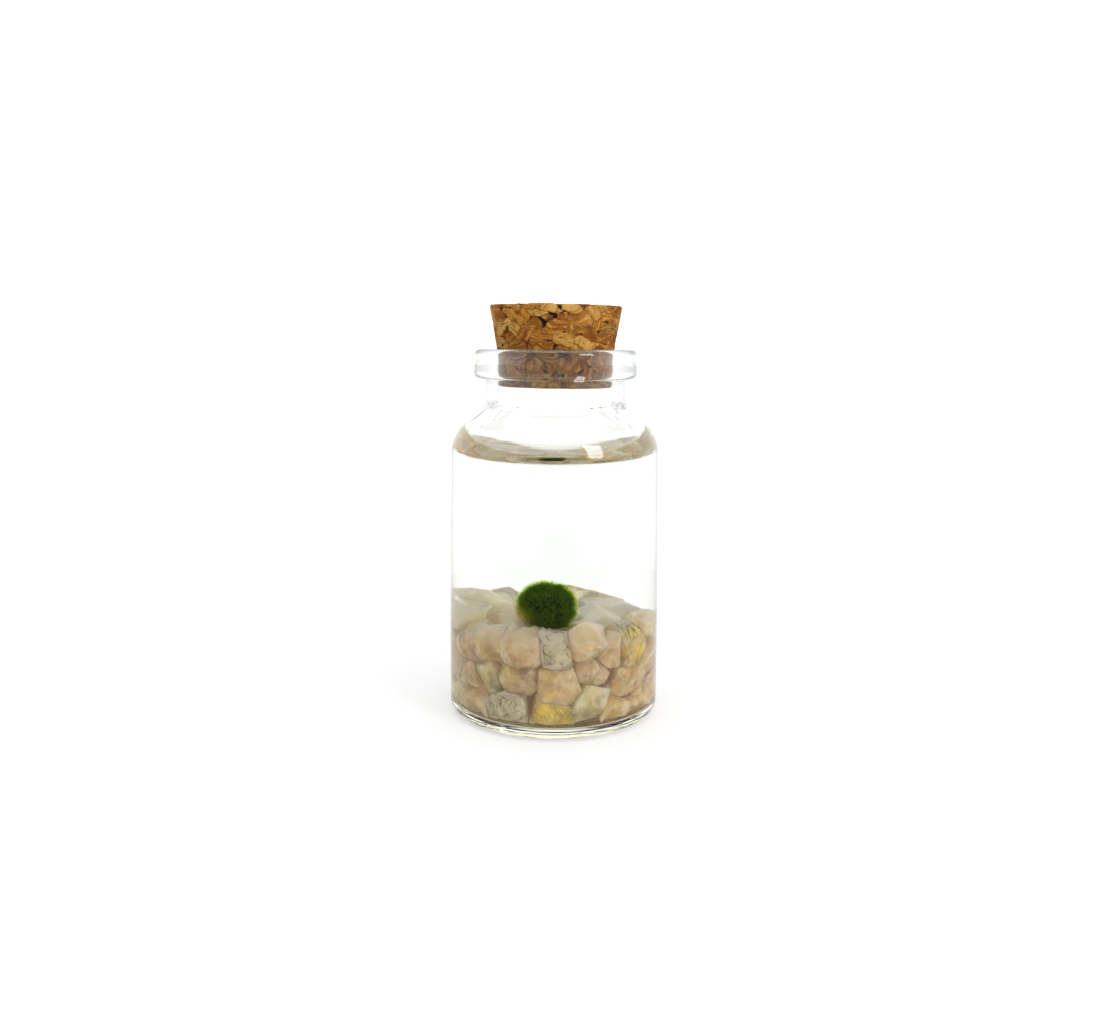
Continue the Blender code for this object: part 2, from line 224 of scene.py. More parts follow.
# ---- Nodes for materials ----
class Shader:
    """A material's node tree, with short ways to add and join nodes. Scales are per millimetre."""

    def __init__(self, name):
        self.material = bpy.data.materials.new(name)
        self.material.use_nodes = True
        self.tree = self.material.node_tree
        self.surface = self.tree.nodes["Principled BSDF"]
        self.place = self.add("TexCoord").outputs["Object"]

    def put(self, node, socket, value):
        target = node.inputs[socket]
        if isinstance(value, bpy.types.NodeSocket):
            self.tree.links.new(value, target)
        else:
            target.default_value = value

    def set(self, **values):
        for name, value in values.items():
            self.put(self.surface, name.replace("_", " "), value)

    def add(self, kind, settings=None, inputs=()):
        node = self.tree.nodes.new("ShaderNode" + kind)
        for name, value in (settings or {}).items():
            setattr(node, name, value)
        for socket, value in dict(inputs).items():
            self.put(node, socket, value)
        return node

    def noise(self, scale, detail=2.0, distortion=0.0):
        inputs = {"Vector": self.place, "Scale": scale / MM, "Detail": detail, "Distortion": distortion}
        return self.add("TexNoise", None, inputs).outputs[0]

    def spread(self, value, low, high, to_low=0.0, to_high=1.0):
        """The value's range from low to high, stretched over another range and held there."""
        inputs = {0: value, 1: low, 2: high, 3: to_low, 4: to_high}
        return self.add("MapRange", None, inputs).outputs[0]

    def maths(self, operation, first, second=0.0):
        return self.add("Math", {"operation": operation}, {0: first, 1: second}).outputs[0]

    def mix(self, share, first, second):
        inputs = {0: share, 6: first, 7: second}
        return self.add("Mix", {"data_type": "RGBA"}, inputs).outputs[2]

    def attribute(self, name):
        return self.add("Attribute", {"attribute_name": name})

    def bump(self, height, distance):
        inputs = {"Height": height, "Distance": distance, "Strength": 1.0}
        node = self.add("Bump", None, inputs)
        self.put(self.surface, "Normal", node.outputs["Normal"])


def rgb(red, green, blue):
    return (red, green, blue, 1.0)


# ---- Meshes ----
def numbers(mesh, name, values, kind="FLOAT"):
    """Stores one number or vector for each of the mesh's points."""
    layer = mesh.attributes.new(name, kind, "POINT")
    field = "vector" if kind == "FLOAT_VECTOR" else "value"
    layer.data.foreach_set(field, np.asarray(values, dtype=np.float32).ravel())


def points_of(mesh):
    flat = np.empty(len(mesh.vertices) * 3)
    mesh.vertices.foreach_get("co", flat)
    return flat.reshape(-1, 3)


def add_piece(name, mesh, materials, nodes, slot):
    obj = bpy.data.objects.new(name, mesh)
    bpy.context.scene.collection.objects.link(obj)
    for material in materials:
        mesh.materials.append(material)
    tie(obj, nodes, slot)
    return obj


def even_directions(count):
    """Unit vectors spread evenly over a sphere."""
    index = np.arange(count)
    height = 1 - (2 * index + 1) / count
    across = np.sqrt(1 - height ** 2)
    turn = math.pi * (3 - math.sqrt(5)) * index
    return np.stack([across * np.cos(turn), across * np.sin(turn), height], axis=1)


def sphere_faces(directions):
    """Triangles that join evenly spread directions into one closed surface."""
    bm = bmesh.new()
    verts = [bm.verts.new(direction) for direction in directions]
    bmesh.ops.convex_hull(bm, input=verts)
    bm.verts.index_update()
    bmesh.ops.recalc_face_normals(bm, faces=bm.faces)
    faces = [[vert.index for vert in face.verts] for face in bm.faces]
    bm.free()
    return faces


# ---- Turned shapes ----
def filleted(corners, steps):
    """A profile of (radius, height) points from corners of (radius, height, rounding)."""
    points = []
    for index, (r, z, rounding) in enumerate(corners):
        here = Vector((r, z))
        if rounding <= 0:
            points.append(here)
            continue
        before = (Vector(corners[index - 1][:2]) - here).normalized()
        after = (Vector(corners[index + 1][:2]) - here).normalized()
        half = before.angle(after) / 2
        centre = here + (before + after).normalized() * rounding / math.sin(half)
        first = here + before * rounding / math.tan(half) - centre
        last = here + after * rounding / math.tan(half) - centre
        turn = first.angle_signed(last)
        for step in range(steps + 1):
            points.append(centre + Matrix.Rotation(-turn * step / steps, 2) @ first)
    return points


def supported(profile):
    """The profile with points added near both ends of each long run, so that it shades true."""
    points = [profile[0]]
    for start, end in zip(profile, profile[1:]):
        span = (end - start).length
        if span > 4 * SUPPORT:
            count = max(2, round(span / SUPPORT_STEP))
            shares = [SUPPORT / span] + [i / count for i in range(1, count)] + [1 - SUPPORT / span]
            points += [start.lerp(end, share) for share in shares]
        points.append(end)
    return points


def turned_mesh(name, profile, segments):
    """A closed mesh turned about Z, row by row, from a profile that starts and ends on the axis."""
    inner = profile[1:-1]
    verts = [(0.0, 0.0, profile[0].y), (0.0, 0.0, profile[-1].y)]
    for point in inner:
        for step in range(segments):
            turn = 2 * math.pi * step / segments
            verts.append((point.x * math.cos(turn), point.x * math.sin(turn), point.y))
    faces = [(0, 2 + step, 2 + (step + 1) % segments) for step in range(segments)]
    for row in range(len(inner) - 1):
        low = 2 + row * segments
        high = low + segments
        for step in range(segments):
            after = (step + 1) % segments
            faces.append((low + step, high + step, high + after, low + after))
    last = 2 + (len(inner) - 1) * segments
    faces += [(1, last + (step + 1) % segments, last + step) for step in range(segments)]
    mesh = bpy.data.meshes.new(name)
    mesh.from_pydata(verts, [], faces)
    mesh.shade_smooth()
    return mesh


# ---- Glass vial ----
def slope_height(radius, inset):
    """Height of the shoulder's straight slope at a radius, on a surface inset from the outside."""
    foot_r = NECK_R - inset * math.sin(SHOULDER_SLOPE)
    foot_z = NECK_FOOT - inset * math.cos(SHOULDER_SLOPE)
    return foot_z - (radius - foot_r) * math.tan(SHOULDER_SLOPE)


def shoulder_corner(inset):
    """Where body and shoulder meet, as radius, height and rounding, inset from the outside."""
    radius = BODY_TOP_R - inset
    return radius, slope_height(radius, inset), SHOULDER_ROUND - inset


def inner_line(inset):
    """The inside of the vial from the middle of its floor to its mouth, inset from the outside."""
    rise = inset - WALL
    corners = (
        (0.0, FLOOR + rise, 0),
        (BODY_R - inset, FLOOR + rise, INNER_HEEL_R - rise),
        (BODY_R - inset, BODY_TAPER_Z, 0),
        shoulder_corner(inset),
        (BORE_R - rise, slope_height(BORE_R - rise, inset), BORE_ROUND),
        (BORE_R - rise, LIP_TOP, MOUTH_ROUND),
        (LIP_R, LIP_TOP, 0),
    )
    return filleted(corners, FILLET_STEPS)[:-1]


def split_at(line, height):
    """A rising line as its part below a height and its part above, which share a point there."""
    below = [point for point in line if point.y < height]
    above = line[len(below):]
    share = (height - below[-1].y) / (above[0].y - below[-1].y)
    meeting = below[-1].lerp(above[0], share)
    return below + [meeting], [meeting] + above


def outer_line():
    lip_bottom = LIP_TOP - LIP_HEIGHT
    corners = (
        (BORE_R, LIP_TOP, 0),
        (LIP_R, LIP_TOP, LIP_ROUND),
        (LIP_R, lip_bottom, LIP_ROUND),
        (NECK_R, lip_bottom, 0.4 * LIP_ROUND),
        (NECK_R, NECK_FOOT, NECK_ROUND),
        shoulder_corner(0.0),
        (BODY_R, BODY_TAPER_Z, 0),
        (BODY_R, 0.0, HEEL_R),
        (0.0, 0.0, 0),
    )
    return filleted(corners, FILLET_STEPS)[1:]


def glass_material(name, ior):
    """Clear glass painted grey-green at its outlines, where it is seen at a slant: painted shade for the
    dark outlines of glass.
    """
    shader = Shader(name)
    slant = shader.add("LayerWeight", None, {"Blend": 0.5}).outputs["Facing"]
    height = shader.add("SeparateXYZ", None, {0: shader.place}).outputs["Z"]
    tint = shader.mix(shader.spread(height, *BASE_RANGE), GLASS_BASE, rgb(0.985, 0.997, 0.985))
    # painted shade: grey where the glass is seen at a slant, above the base and sooner on the lip
    grey = shader.maths("MULTIPLY", shader.spread(slant, *GLASS_SLANT), shader.spread(height, *EDGE_RANGE))
    lip = shader.spread(height, LIP_TOP - LIP_HEIGHT - MM, LIP_TOP - LIP_HEIGHT)
    grey = shader.maths("MAXIMUM", grey, shader.maths("MULTIPLY", shader.spread(slant, *LIP_SLANT), lip))
    tint = shader.mix(grey, tint, GLASS_EDGE_SHADE)
    shader.set(Base_Color=tint, Roughness=0.0, IOR=ior, Transmission_Weight=1.0)
    return shader.material


def ripple_shoulder(mesh, rows, profile):
    """Uneven glass on the dry inside of the shoulder, as tube glass has where it was drawn in."""
    slope = Vector((math.sin(SHOULDER_SLOPE), math.cos(SHOULDER_SLOPE)))
    top = slope_height(BORE_R, WALL)
    for row in rows:
        point = profile[row]
        fade = min(point.y - WATER_EDGE, top - point.y) / MM
        fade = max(0.0, min(1.0, fade))
        if fade == 0.0:
            continue
        for step in range(GLASS_SEGMENTS):
            vert = mesh.vertices[2 + (row - 1) * GLASS_SEGMENTS + step]
            shift = noise.noise(vert.co / RIPPLE_SIZE) * RIPPLE * fade
            outward = Vector((vert.co.x, vert.co.y, 0)).normalized()
            vert.co += shift * (outward * slope.x + Vector((0, 0, slope.y)))


def build_vial():
    wet, dry = split_at(inner_line(WALL), WATER_EDGE)
    wet, dry = supported(wet), supported(dry)
    profile = wet + dry[1:] + supported(outer_line())
    mesh = turned_mesh("vial", profile, GLASS_SEGMENTS)
    wet_faces = GLASS_SEGMENTS * (len(wet) - 1)
    for face in mesh.polygons[:wet_faces]:
        face.material_index = 1
    ripple_shoulder(mesh, range(len(wet), len(wet) + len(dry)), profile)
    mesh.set_sharp_from_angle(angle=SHARP_ANGLE)
    materials = [
        glass_material("vial_glass", GLASS_IOR),
        glass_material("wet_glass", GLASS_IOR / WATER_IOR),
    ]
    return add_piece("vial", mesh, materials, ["bottle"], "glass")


# ---- Water ----
def climb_distance(rise):
    """How far inside a tall upright wall the water stands this much above its flat level."""
    return CAPILLARY * (math.acosh(2 * CAPILLARY / rise) - math.sqrt(4 - (rise / CAPILLARY) ** 2))


def water_surface(edge, steps):
    """The surface from near the axis out to its edge, as (radius, height) points."""
    full = WATER_EDGE - WATER_LEVEL
    points = [Vector((0.0, WATER_LEVEL))]
    for step in range(1, steps + 1):
        rise = full * (LEAST_RISE + (1 - LEAST_RISE) * (step / steps) ** 2)
        points.append(Vector((edge + climb_distance(full) - climb_distance(rise), WATER_LEVEL + rise)))
    return points


def water_material(name, ior):
    shader = Shader(name)
    shader.set(Base_Color=rgb(1, 1, 1), Roughness=0.0, IOR=ior, Transmission_Weight=1.0)
    return shader.material


def build_water():
    """The water's top bends light; the wet glass bends it at the sides, so the sides don't."""
    edge = split_at(inner_line(WALL), WATER_EDGE)[0][-1].x
    top = supported(water_surface(edge, SURFACE_STEPS))
    side = split_at(inner_line(WALL + SKIN), WATER_EDGE - SKIN)[0]
    mesh = turned_mesh("water_body", top + supported(side[::-1]), GLASS_SEGMENTS)
    for face in mesh.polygons[GLASS_SEGMENTS * (len(top) - 1):]:
        face.material_index = 1
    mesh.set_sharp_from_angle(angle=SHARP_ANGLE)
    materials = [water_material("water_top", WATER_IOR), water_material("water_side", 1.0)]
    return add_piece("water_body", mesh, materials, ["water"], "water")


# ---- Cork ----
def cork_line():
    corners = (
        (0.0, CORK_TOP, 0),
        (CORK_TOP_R, CORK_TOP, CORK_EDGE),
        (*CORK_KNEE, 0),
        (CORK_BOTTOM_R, CORK_BOTTOM, CORK_EDGE),
        (0.0, CORK_BOTTOM, 0),
    )
    coarse = filleted(corners, CORK_FILLET_STEPS)
    line = [coarse[0]]
    for start, end in zip(coarse, coarse[1:]):
        step = CORK_STEP if start.y - end.y > CORK_EDGE else FLAT_STEP
        count = max(1, round((end - start).length / step))
        line += [start.lerp(end, (i + 1) / count) for i in range(count)]
    return line


def granule_seeds(rng):
    """Centres of the pressed granules, in a space stretched so that they are round."""
    seeds = []
    across = CORK_TOP_R + GRANULE
    for _ in range(GRANULE_TRIES):
        place = Vector((
            rng.uniform(-across, across),
            rng.uniform(-across, across),
            rng.uniform(CORK_BOTTOM - GRANULE, CORK_TOP + GRANULE) * GRANULE_FLAT,
        ))
        nearest = GRANULE * rng.uniform(*GRANULE_SPACING)
        if all((place - other).length > nearest for other in seeds):
            seeds.append(place)
    return seeds


def warped(point):
    """A point moved by smooth noise, so that the seams between granules wander."""
    moved = point
    for size, shift in SEAM_WAVES:
        moved = moved + noise.noise_vector(point / (size * MM)) * shift * MM
    return moved


def granule_fields(points, seeds, rng):
    """For each point: its granule's two tones, the way to the nearest seam and corner, its grain."""
    tree = KDTree(len(seeds))
    for index, seed in enumerate(seeds):
        tree.insert(seed, index)
    tree.balance()
    tones = [(rng.random(), rng.random()) for _ in seeds]
    spins = [Quaternion([rng.gauss(0, 1) for _ in range(4)]).normalized() for _ in seeds]
    fields = []
    for point in points:
        at = warped(Vector(point))
        at.z *= GRANULE_FLAT
        (_, index, first), (_, _, second), (_, _, third) = tree.find_n(at, 3)
        grain = spins[index] @ (at - seeds[index])
        fields.append((*tones[index], (second - first) / MM, (third - first) / MM, *(grain / MM)))
    return np.array(fields)


def cork_material():
    shader = Shader("pressed_cork")
    tone = shader.attribute("tone").outputs["Fac"]
    second = shader.attribute("second_tone").outputs["Fac"]
    seam = shader.attribute("seam").outputs["Fac"]
    grain = shader.attribute("grain").outputs["Vector"]
    stretched = shader.add("VectorMath", {"operation": "MULTIPLY"}, {0: grain, 1: GRAIN_STRETCH})
    streaks = {"Vector": stretched.outputs[0], "Scale": 1.0, "Detail": 5.0, "Distortion": 0.6}
    lines = shader.add("TexNoise", None, streaks).outputs[0]
    blotches = shader.noise(0.55, 4.0, 0.5)
    specks = shader.noise(5.0, 3.0)
    colour = shader.mix(shader.spread(tone, 0.0, 0.55), rgb(0.33, 0.143, 0.019), rgb(0.20, 0.060, 0.005))
    colour = shader.mix(shader.spread(tone, 0.6, 1.0), colour, rgb(0.175, 0.088, 0.011))
    colour = shader.mix(shader.spread(second, 0.55, 0.90, 0.0, 0.85), colour, rgb(0.46, 0.262, 0.062))
    colour = shader.mix(shader.spread(blotches, 0.50, 0.70, 0.0, 0.55), colour, rgb(0.14, 0.045, 0.004))
    colour = shader.mix(shader.spread(lines, 0.52, 0.66, 0.0, 0.80), colour, rgb(0.09, 0.022, 0.003))
    colour = shader.mix(shader.spread(lines, 0.46, 0.36, 0.0, 0.60), colour, rgb(0.48, 0.262, 0.062))
    colour = shader.mix(shader.spread(specks, 0.56, 0.72, 0.0, 0.5), colour, rgb(0.09, 0.027, 0.003))
    wander = shader.spread(shader.noise(0.4, 2.0), 0.35, 0.65, 0.05, 0.26)
    near = shader.maths("DIVIDE", seam, wander)
    colour = shader.mix(shader.spread(near, 1.0, 0.2, 0.0, 0.85), colour, rgb(0.055, 0.013, 0.003))
    height = shader.add("SeparateXYZ", None, {0: shader.place}).outputs["Z"]
    squeezed = shader.spread(height, LIP_TOP - MM, LIP_TOP + MM, 0.42, 0.0)
    streaky = shader.spread(lines, 0.40, 0.58)
    rubbed = shader.mix(streaky, rgb(0.30, 0.130, 0.018), rgb(0.028, 0.007, 0.001))
    colour = shader.mix(squeezed, colour, rubbed)
    # painted shade: nearly black where pits open, for the shade inside the holes
    pit = shader.attribute("pit").outputs["Fac"]
    colour = shader.mix(shader.spread(pit, 0.15, 0.6), colour, rgb(0.020, 0.005, 0.003))
    shader.set(Base_Color=colour, Roughness=0.82, Specular_IOR_Level=0.12)
    furrows = shader.maths("MULTIPLY", lines, -0.6)
    relief = shader.maths("ADD", furrows, shader.maths("MULTIPLY", specks, -0.5))
    shader.bump(relief, 0.12 * MM)
    return shader.material


def build_cork():
    rng = random.Random(SEED)
    mesh = turned_mesh("cork_stopper", cork_line(), CORK_SEGMENTS)
    points = points_of(mesh)
    fields = granule_fields(points, granule_seeds(rng), rng)
    tone, second, seam, corner = fields[:, 0], fields[:, 1], fields[:, 2], fields[:, 3]
    openness = np.array([noise.noise(Vector(point) / PIT_PATCH) for point in points])
    rough = np.array([noise.fractal(Vector(point) / ROUGH_SIZE, 1.0, 2.0, 4) for point in points])
    groove = np.exp(-(seam / GROOVE_WIDTH) ** 2)
    pit = np.exp(-(corner / PIT_WIDTH) ** 2) * np.clip((openness + 0.05) * 4, 0, 1)
    loose = np.clip((points[:, 2] - LIP_TOP) / MM, SQUEEZED_RELIEF, 1.0)
    depth = (GROOVE_DEPTH * groove + PIT_DEPTH * pit + TONE_DEPTH * tone * (1 - groove)
             + ROUGH_DEPTH * rough + BASE_DEPTH)
    depth = np.maximum(depth * loose, 0.0) * MM
    normals = np.array([vert.normal for vert in mesh.vertices])
    points -= normals * depth[:, None]
    seat = Vector((0.0, 0.0, CORK_KNEE[1]))
    lean = Matrix.Translation(seat) @ Matrix.Rotation(CORK_TILT, 4, "Y") @ Matrix.Translation(-seat)
    points = points @ np.array(lean.to_3x3()).T + np.array(lean.translation)
    mesh.vertices.foreach_set("co", points.ravel())
    numbers(mesh, "tone", tone)
    numbers(mesh, "second_tone", second)
    numbers(mesh, "seam", seam)
    numbers(mesh, "pit", pit)
    numbers(mesh, "grain", fields[:, 4:7], "FLOAT_VECTOR")
    mesh.update()
    return add_piece("cork_stopper", mesh, [cork_material()], ["cork"], "cork")


# ---- Moss ball ----
def moss_lump(directions):
    """The core's reach in each direction, as a share of its middling reach."""
    lumps = [noise.noise(Vector(direction) * LUMP_RATE) for direction in directions]
    return 1 + LUMP_HEIGHT * np.array(lumps)


def moss_material(name, core):
    shader = Shader(name)
    if core:
        patches = shader.spread(shader.noise(0.9, 3.0), 0.35, 0.65)
        colour = shader.mix(patches, rgb(0.007, 0.040, 0.001), rgb(0.014, 0.064, 0.001))
        shader.set(Base_Color=colour, Roughness=0.8, Specular_IOR_Level=0.1)
        return shader.material
    along = shader.attribute("along").outputs["Fac"]
    shade = shader.attribute("shade").outputs["Fac"]
    old = shader.attribute("old").outputs["Fac"]
    low = shader.mix(shade, rgb(0.001, 0.024, 0.001), rgb(0.008, 0.066, 0.001))
    tip = shader.mix(shade, rgb(0.520, 0.800, 0.020), rgb(0.950, 0.980, 0.120))
    colour = shader.mix(shader.spread(along, 0.2, 0.85), low, tip)
    colour = shader.mix(shader.maths("MULTIPLY", old, along), colour, rgb(0.85, 0.50, 0.01))
    shader.set(Base_Color=colour, Roughness=0.7, IOR=1.01)
    sheer = shader.spread(along, 0.1, 0.65, 0.2, 0.96)
    fresh = shader.spread(old, 0.0, 1.0, 1.0, 0.35)
    shader.set(Transmission_Weight=shader.maths("MULTIPLY", sheer, fresh))
    return shader.material


def moss_frame():
    low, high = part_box("moss_ball")
    low, high = np.array(low), np.array(high)
    return (low + high) / 2, (high - low).min() / 2


def build_moss_core(centre, radius):
    directions = even_directions(CORE_POINTS)
    mesh = bpy.data.meshes.new("moss_core")
    reach = radius * MOSS_CORE * moss_lump(directions)
    mesh.from_pydata((centre + directions * reach[:, None]).tolist(), [], sphere_faces(directions))
    mesh.shade_smooth()
    return add_piece("moss_core", mesh, [moss_material("moss_core", True)], ["moss_ball"], "moss")


def fibre_ways(rng):
    """Outward directions of the fibres, the way each one leans, and the tone of its tuft."""
    count = MOSS_FIBRES
    out = even_directions(count) + rng.normal(0, 0.012, (count, 3))
    out /= np.linalg.norm(out, axis=1, keepdims=True)
    tufts = np.array([noise.noise_vector(Vector(way) * TUFT_RATE) for way in out])
    tones = np.array([noise.noise(Vector(way) * TONE_RATE + Vector((5, 5, 5))) for way in out])
    aside = np.cross(out, tufts + rng.normal(0, 0.22, (count, 3)))
    aside /= np.linalg.norm(aside, axis=1, keepdims=True)
    return out, aside, tones


def build_moss_fibres(centre, radius):
    rng = np.random.default_rng(SEED)
    count = MOSS_FIBRES
    out, aside, tones = fibre_ways(rng)
    cross = np.cross(out, aside)
    root = out * (radius * MOSS_CORE * FIBRE_ROOT * moss_lump(out))[:, None]
    shortest, longest = FIBRE_LENGTH
    length = radius * (shortest + (longest - shortest) * rng.random((count, 1)) ** 1.4)
    lean = rng.uniform(*FIBRE_LEAN, (count, 1))
    curl = rng.normal(0, FIBRE_CURL, (count, 1))

    def place(share):
        bend = aside * lean * share ** 1.7 + cross * curl * math.sin(math.pi * share)
        spot = root + length * (out * share + bend)
        far = np.linalg.norm(spot, axis=1, keepdims=True)
        return spot * np.minimum(1, FIBRE_REACH * radius / far)

    rings = []
    for share, width in FIBRE_RINGS:
        for corner in range(3):
            turn = 2 * math.pi * corner / 3
            outward = aside * math.cos(turn) + cross * math.sin(turn)
            rings.append(place(share) + FIBRE_WIDTH * width * outward)
    verts = np.stack(rings + [place(1.0)], axis=1) + centre
    tip = len(rings)
    pattern = [(2, 1, 0)]
    for corner in range(3):
        after = (corner + 1) % 3
        pattern.append((tip - 3 + corner, tip - 3 + after, tip))
        for low in range(0, tip - 3, 3):
            first, second = low + corner, low + after
            pattern += [(first, second, second + 3), (first, second + 3, first + 3)]
    faces = (np.array(pattern)[None] + (tip + 1) * np.arange(count)[:, None, None]).reshape(-1, 3)
    mesh = bpy.data.meshes.new("moss_fibres")
    mesh.from_pydata(verts.reshape(-1, 3).tolist(), [], faces.tolist())
    mesh.shade_smooth()
    along = np.repeat([ring[0] for ring in FIBRE_RINGS], 3).tolist() + [1.0]
    numbers(mesh, "along", np.tile(along, count))
    shade = np.clip(rng.random(count) ** 2 * 0.9 + tones * 0.9, 0, 1)
    numbers(mesh, "shade", np.repeat(shade, tip + 1))
    facing = out @ np.array(OLD_WAY)
    patch = np.clip(facing * OLD_SLOPE - OLD_START, 0, 1) * rng.uniform(0.3, 1, count)
    numbers(mesh, "old", np.repeat(patch, tip + 1))
    return add_piece("moss_fibres", mesh, [moss_material("moss_fibres", False)], ["moss_ball"], "moss")


# ---- Quartz chips ----
def inner_facets(shader):
    """Three random numbers for each of the wavy cells that stand for cracks inside a chip."""
    wave = {"Vector": shader.place, "Scale": 0.5 / MM, "Detail": 2.0}
    sway = shader.add("TexNoise", None, wave).outputs["Color"]
    sway = shader.add("VectorMath", {"operation": "SCALE"}, {0: sway, "Scale": 1.6 * MM}).outputs[0]
    swayed = shader.add("VectorMath", {"operation": "ADD"}, {0: shader.place, 1: sway}).outputs[0]
    cells = shader.add("TexVoronoi", None, {"Vector": swayed, "Scale": 0.5 / MM}).outputs["Color"]
    return shader.add("SeparateColor", None, {0: cells}).outputs


def quartz_material(kind, pale, deep, bright, least, most, topmost):
    """Quartz with inner facets of unlike tone, pale veils and a painted highlight along some edges.

    least and most are how much light it lets straight through. On top of the bed it takes on
    the bright colour, painted light from above, and lets topmost through.
    """
    shader = Shader(kind + "_quartz")
    tone = shader.attribute("tone").outputs["Fac"]
    edge = shader.attribute("edge").outputs["Fac"]
    facet = inner_facets(shader)
    wisps = shader.noise(0.55, 4.0, 0.3)
    stain = shader.spread(shader.noise(0.16, 2.0), 0.40, 0.60)
    share = shader.maths("MULTIPLY", tone, 0.3)
    share = shader.maths("ADD", share, shader.maths("MULTIPLY", facet[0], 0.35))
    share = shader.maths("ADD", share, shader.maths("MULTIPLY", stain, 0.35))
    colour = shader.mix(share, rgb(*pale), rgb(*deep))
    cloud = shader.spread(wisps, 0.50, 0.66, 0.0, 0.7)
    veil = shader.maths("MULTIPLY", cloud, shader.spread(facet[1], 0.3, 0.9))
    colour = shader.mix(veil, colour, QUARTZ_VEIL)
    height = shader.add("SeparateXYZ", None, {0: shader.place}).outputs["Z"]
    # painted light: chips on top of the bed are painted brighter, as if lit more from above
    top = shader.spread(height, *TOP_RANGE)
    lit = shader.maths("MULTIPLY", top, shader.spread(tone, 0.0, 1.0, 0.6, 1.0))
    colour = shader.mix(lit, colour, rgb(*bright))
    # painted highlight: lighter where the surface turns at an edge, in noise patches
    rim_highlight = shader.maths("MULTIPLY", edge, shader.spread(shader.noise(0.4, 2.0), 0.42, 0.62, 0.05, 0.45))
    colour = shader.mix(rim_highlight, colour, QUARTZ_RIM_HIGHLIGHT)
    gaps = shader.spread(facet[2], 0.0, 0.5, 0.4, 1.0)
    clearness = shader.maths("MULTIPLY", shader.spread(wisps, 0.62, 0.38), gaps)
    low = shader.spread(clearness, 0.0, 1.0, least, most)
    clear = shader.add("Mix", None, {0: top, 2: low, 3: topmost}).outputs[0]
    shader.set(
        Base_Color=colour,
        Roughness=shader.spread(shader.noise(2.0, 3.0), 0.3, 0.7, 0.03, 0.12),
        IOR=QUARTZ_IN_WATER_IOR,
        Transmission_Weight=clear,
        Subsurface_Weight=1.0,
        Subsurface_Radius=(1.0, 0.95, 0.9),
        Subsurface_Scale=MILK_DEPTH,
        Coat_Weight=0.2,
        Coat_Roughness=0.06,
    )
    shader.bump(shader.maths("ADD", facet[1], shader.noise(1.4, 3.0)), 0.03 * MM)
    return shader.material


def hull_of(node):
    """A CAD chip's middle, points, and faces as unit normals with their distances from it."""
    points = points_of(node.data)
    centre = (points.min(axis=0) + points.max(axis=0)) / 2
    normals = np.array([face.normal for face in node.data.polygons])
    on_face = points[[face.vertices[0] for face in node.data.polygons]]
    reach = ((on_face - centre) * normals).sum(axis=1)
    planes = np.round(np.column_stack([normals, reach / MM]), 2)
    single = np.unique(planes, axis=0, return_index=True)[1]
    return centre, points, normals[single], reach[single]


def parting_plane(first, second):
    """Of the first chip's faces, the one that best parts it from the second: normal, offset, gap."""
    _, points, normals, _ = first
    behind = (points @ normals.T).max(axis=0)
    ahead = (second[1] @ normals.T).min(axis=0)
    best = (ahead - behind).argmax()
    return normals[best], (ahead[best] + behind[best]) / 2, ahead[best] - behind[best]


def cells_of(hulls):
    """For each chip, the planes (normal, offset) halfway to its neighbours."""
    cells = [[] for _ in hulls]
    for index, first in enumerate(hulls):
        for other in range(index + 1, len(hulls)):
            second = hulls[other]
            if np.linalg.norm(second[0] - first[0]) > NEIGHBOUR_REACH:
                continue
            normal, offset, gap = parting_plane(first, second)
            back, back_offset, back_gap = parting_plane(second, first)
            if back_gap > gap:
                normal, offset, gap = -back, -back_offset, back_gap
            if gap < NEIGHBOUR_GAP:
                cells[index].append((normal, offset))
                cells[other].append((-normal, -offset))
    return [(np.array([side[0] for side in cell]), np.array([side[1] for side in cell])) for cell in cells]


def soft_reach(directions, normals, reach):
    """Distance each way to the nearest of several planes, with its edges and corners rounded."""
    gauge = np.maximum(directions @ normals.T, 1e-9) / reach
    largest = gauge.max(axis=1)
    total = ((gauge / largest[:, None]) ** CHIP_CRISP).sum(axis=1) ** (1 / CHIP_CRISP)
    return 1 / (largest * total)


def reach_to_glass(centre, directions):
    limit = BODY_TOP_R - WALL - CHIP_GAP
    a = np.maximum((directions[:, :2] ** 2).sum(axis=1), 1e-9)
    b = directions[:, :2] @ centre[:2]
    c = centre[:2] @ centre[:2] - limit ** 2
    return (np.sqrt(b * b - a * c) - b) / a


def shown_way(centre):
    """The way a chip faces the eye: out through the glass, and up on top of the bed."""
    out = np.array([centre[0], centre[1], 0.0])
    up = max(0.0, (centre[2] - SHOWN_HEIGHT) / TURN_UP)
    return out / np.linalg.norm(out) + np.array([0.0, 0.0, up])


def fresh_breaks(hull, rng):
    """Flat breaks across the side of a chip that shows, as normals and distances from its middle."""
    centre, points, _, _ = hull
    ways = np.array([[rng.gauss(0, BREAK_SPREAD) for _ in range(3)] for _ in range(CHIP_BREAKS)])
    ways += shown_way(centre)
    ways /= np.linalg.norm(ways, axis=1, keepdims=True)
    depth = np.array([rng.uniform(*BREAK_DEPTH) for _ in range(CHIP_BREAKS)])
    return ways, (ways @ (points - centre).T).max(axis=1) * depth


